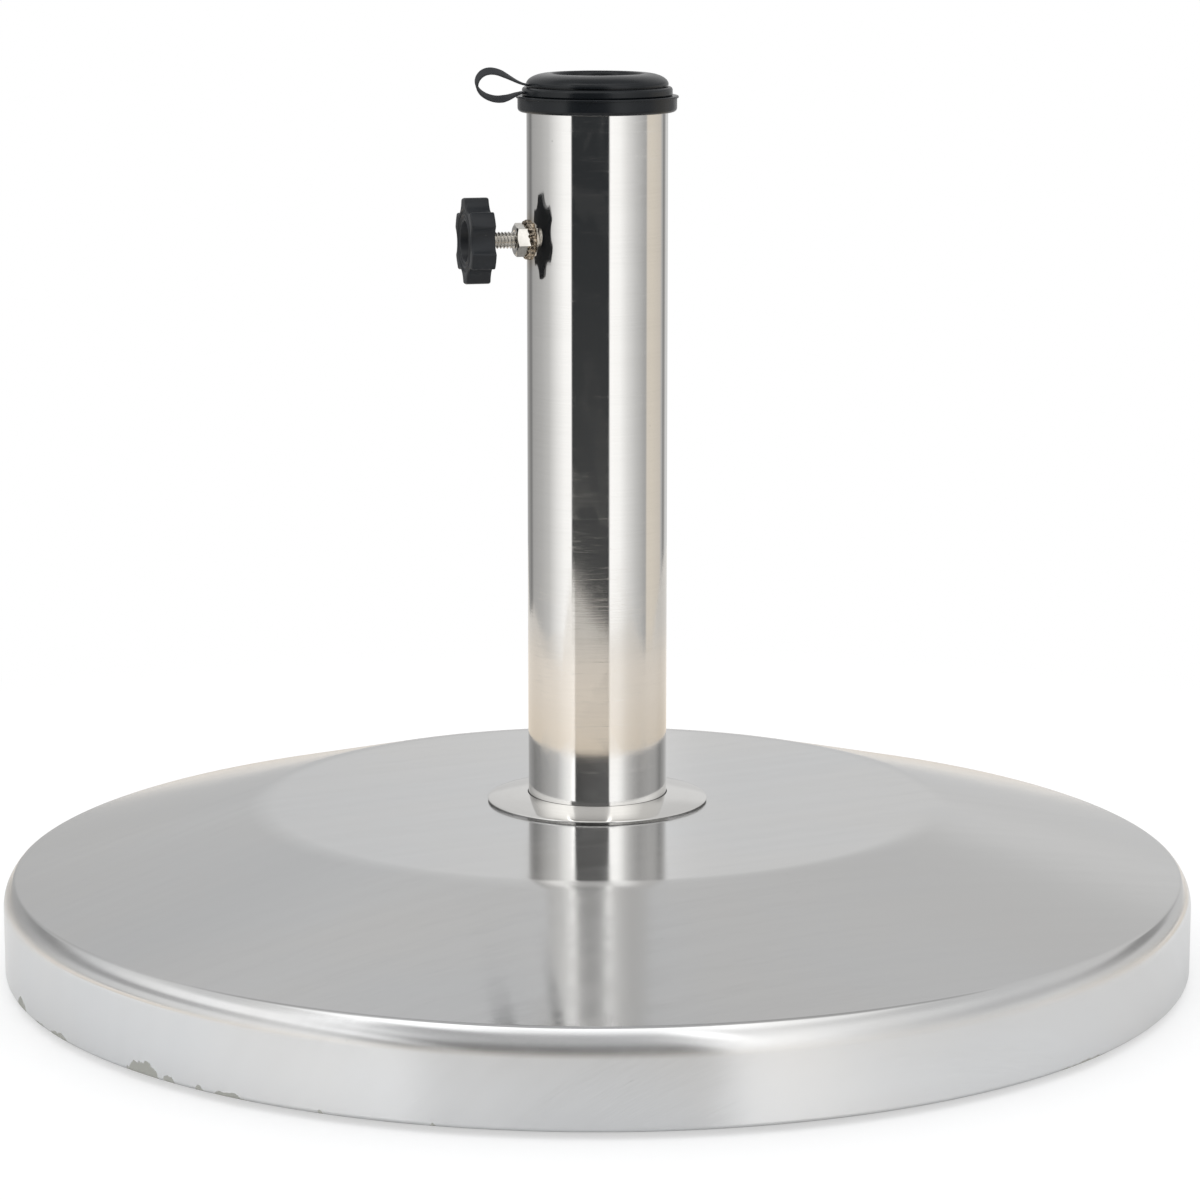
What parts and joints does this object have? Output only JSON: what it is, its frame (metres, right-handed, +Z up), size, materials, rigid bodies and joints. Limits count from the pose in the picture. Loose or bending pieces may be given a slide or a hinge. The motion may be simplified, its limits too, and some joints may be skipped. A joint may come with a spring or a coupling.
{
  "type": "parasol base",
  "caption": "Round weighted parasol base: concrete-filled steel disc, stand tube with star-knob clamp, and nested bushes that reduce the mouth for thinner poles.",
  "frame": {"origin": "on the floor under the centre of the disc", "axes": "+Z up along the stand tube; -X towards the clamp knob and the reducers' strap"},
  "size_m": [0.45, 0.45, 0.3384],
  "materials": {
    "cover_steel": "satin stainless sheet, pressed, fine grain",
    "tube_steel": "polished stainless with faint lines round the tube",
    "clamp_steel": "bright machined stainless",
    "weld_metal": "weld bead, lumpy, lightly heat-tinted",
    "plated_steel": "zinc plated",
    "plain_steel": "mill finish",
    "concrete": "cast concrete, trowelled underside",
    "knob_plastic": "moulded, fine satin",
    "black_plastic": "moulded, soft sheen",
    "black_strap": "flexible moulded band",
    "natural_nylon": "natural nylon",
    "pad_rubber": "moulded rubber"
  },
  "bodies": {
    "base": {"steel_cover": "cover_steel", "concrete_core": "concrete", "anchor_bolt": "plated_steel", "anchor_washer": "plated_steel", "spring_washer": "plated_steel", "foot_plate": "plain_steel", "foot_nut": "plated_steel", "stand_tube": "tube_steel", "rosette": "tube_steel", "clamp_nut": "clamp_steel", "clamp_nut_weld": "weld_metal", "top_collar": "black_plastic", "foot_pad_1": "pad_rubber", "foot_pad_2": "pad_rubber", "foot_pad_3": "pad_rubber", "foot_pad_4": "pad_rubber"},
    "outer_reducer": {"outer_reducer": "black_plastic", "tether_strap": "black_strap"},
    "inner_reducer": {"inner_reducer": "black_plastic"},
    "pressure_tip": {"pressure_tip": "natural_nylon"},
    "clamp_handle": {"clamp_screw": "clamp_steel", "clamp_knob": "knob_plastic"}
  },
  "joints": [
    {"name": "outer_lift", "type": "slide", "parent": "base", "child": "outer_reducer", "axis": [0, 0, 1], "range_m": [0, 0.04]},
    {"name": "inner_lift", "type": "slide", "parent": "outer_reducer", "child": "inner_reducer", "axis": [0, 0, 1], "range_m": [0, 0.031], "deforming": ["tether_strap"]},
    {"name": "clamp_travel", "type": "slide", "parent": "base", "child": "pressure_tip", "axis": [1, 0, 0], "range_m": [-0.00382, 0.00953]},
    {"name": "clamp_turn", "type": "hinge", "parent": "pressure_tip", "child": "clamp_handle", "pos_m": [-0.026, 0, 0.2757], "axis": [1, 0, 0], "range_deg": [-1080, 2700]}
  ],
  "couplings": [
    {"joint": "clamp_travel", "follows": "clamp_turn", "m_per_rad": 0.00020213}
  ]
}
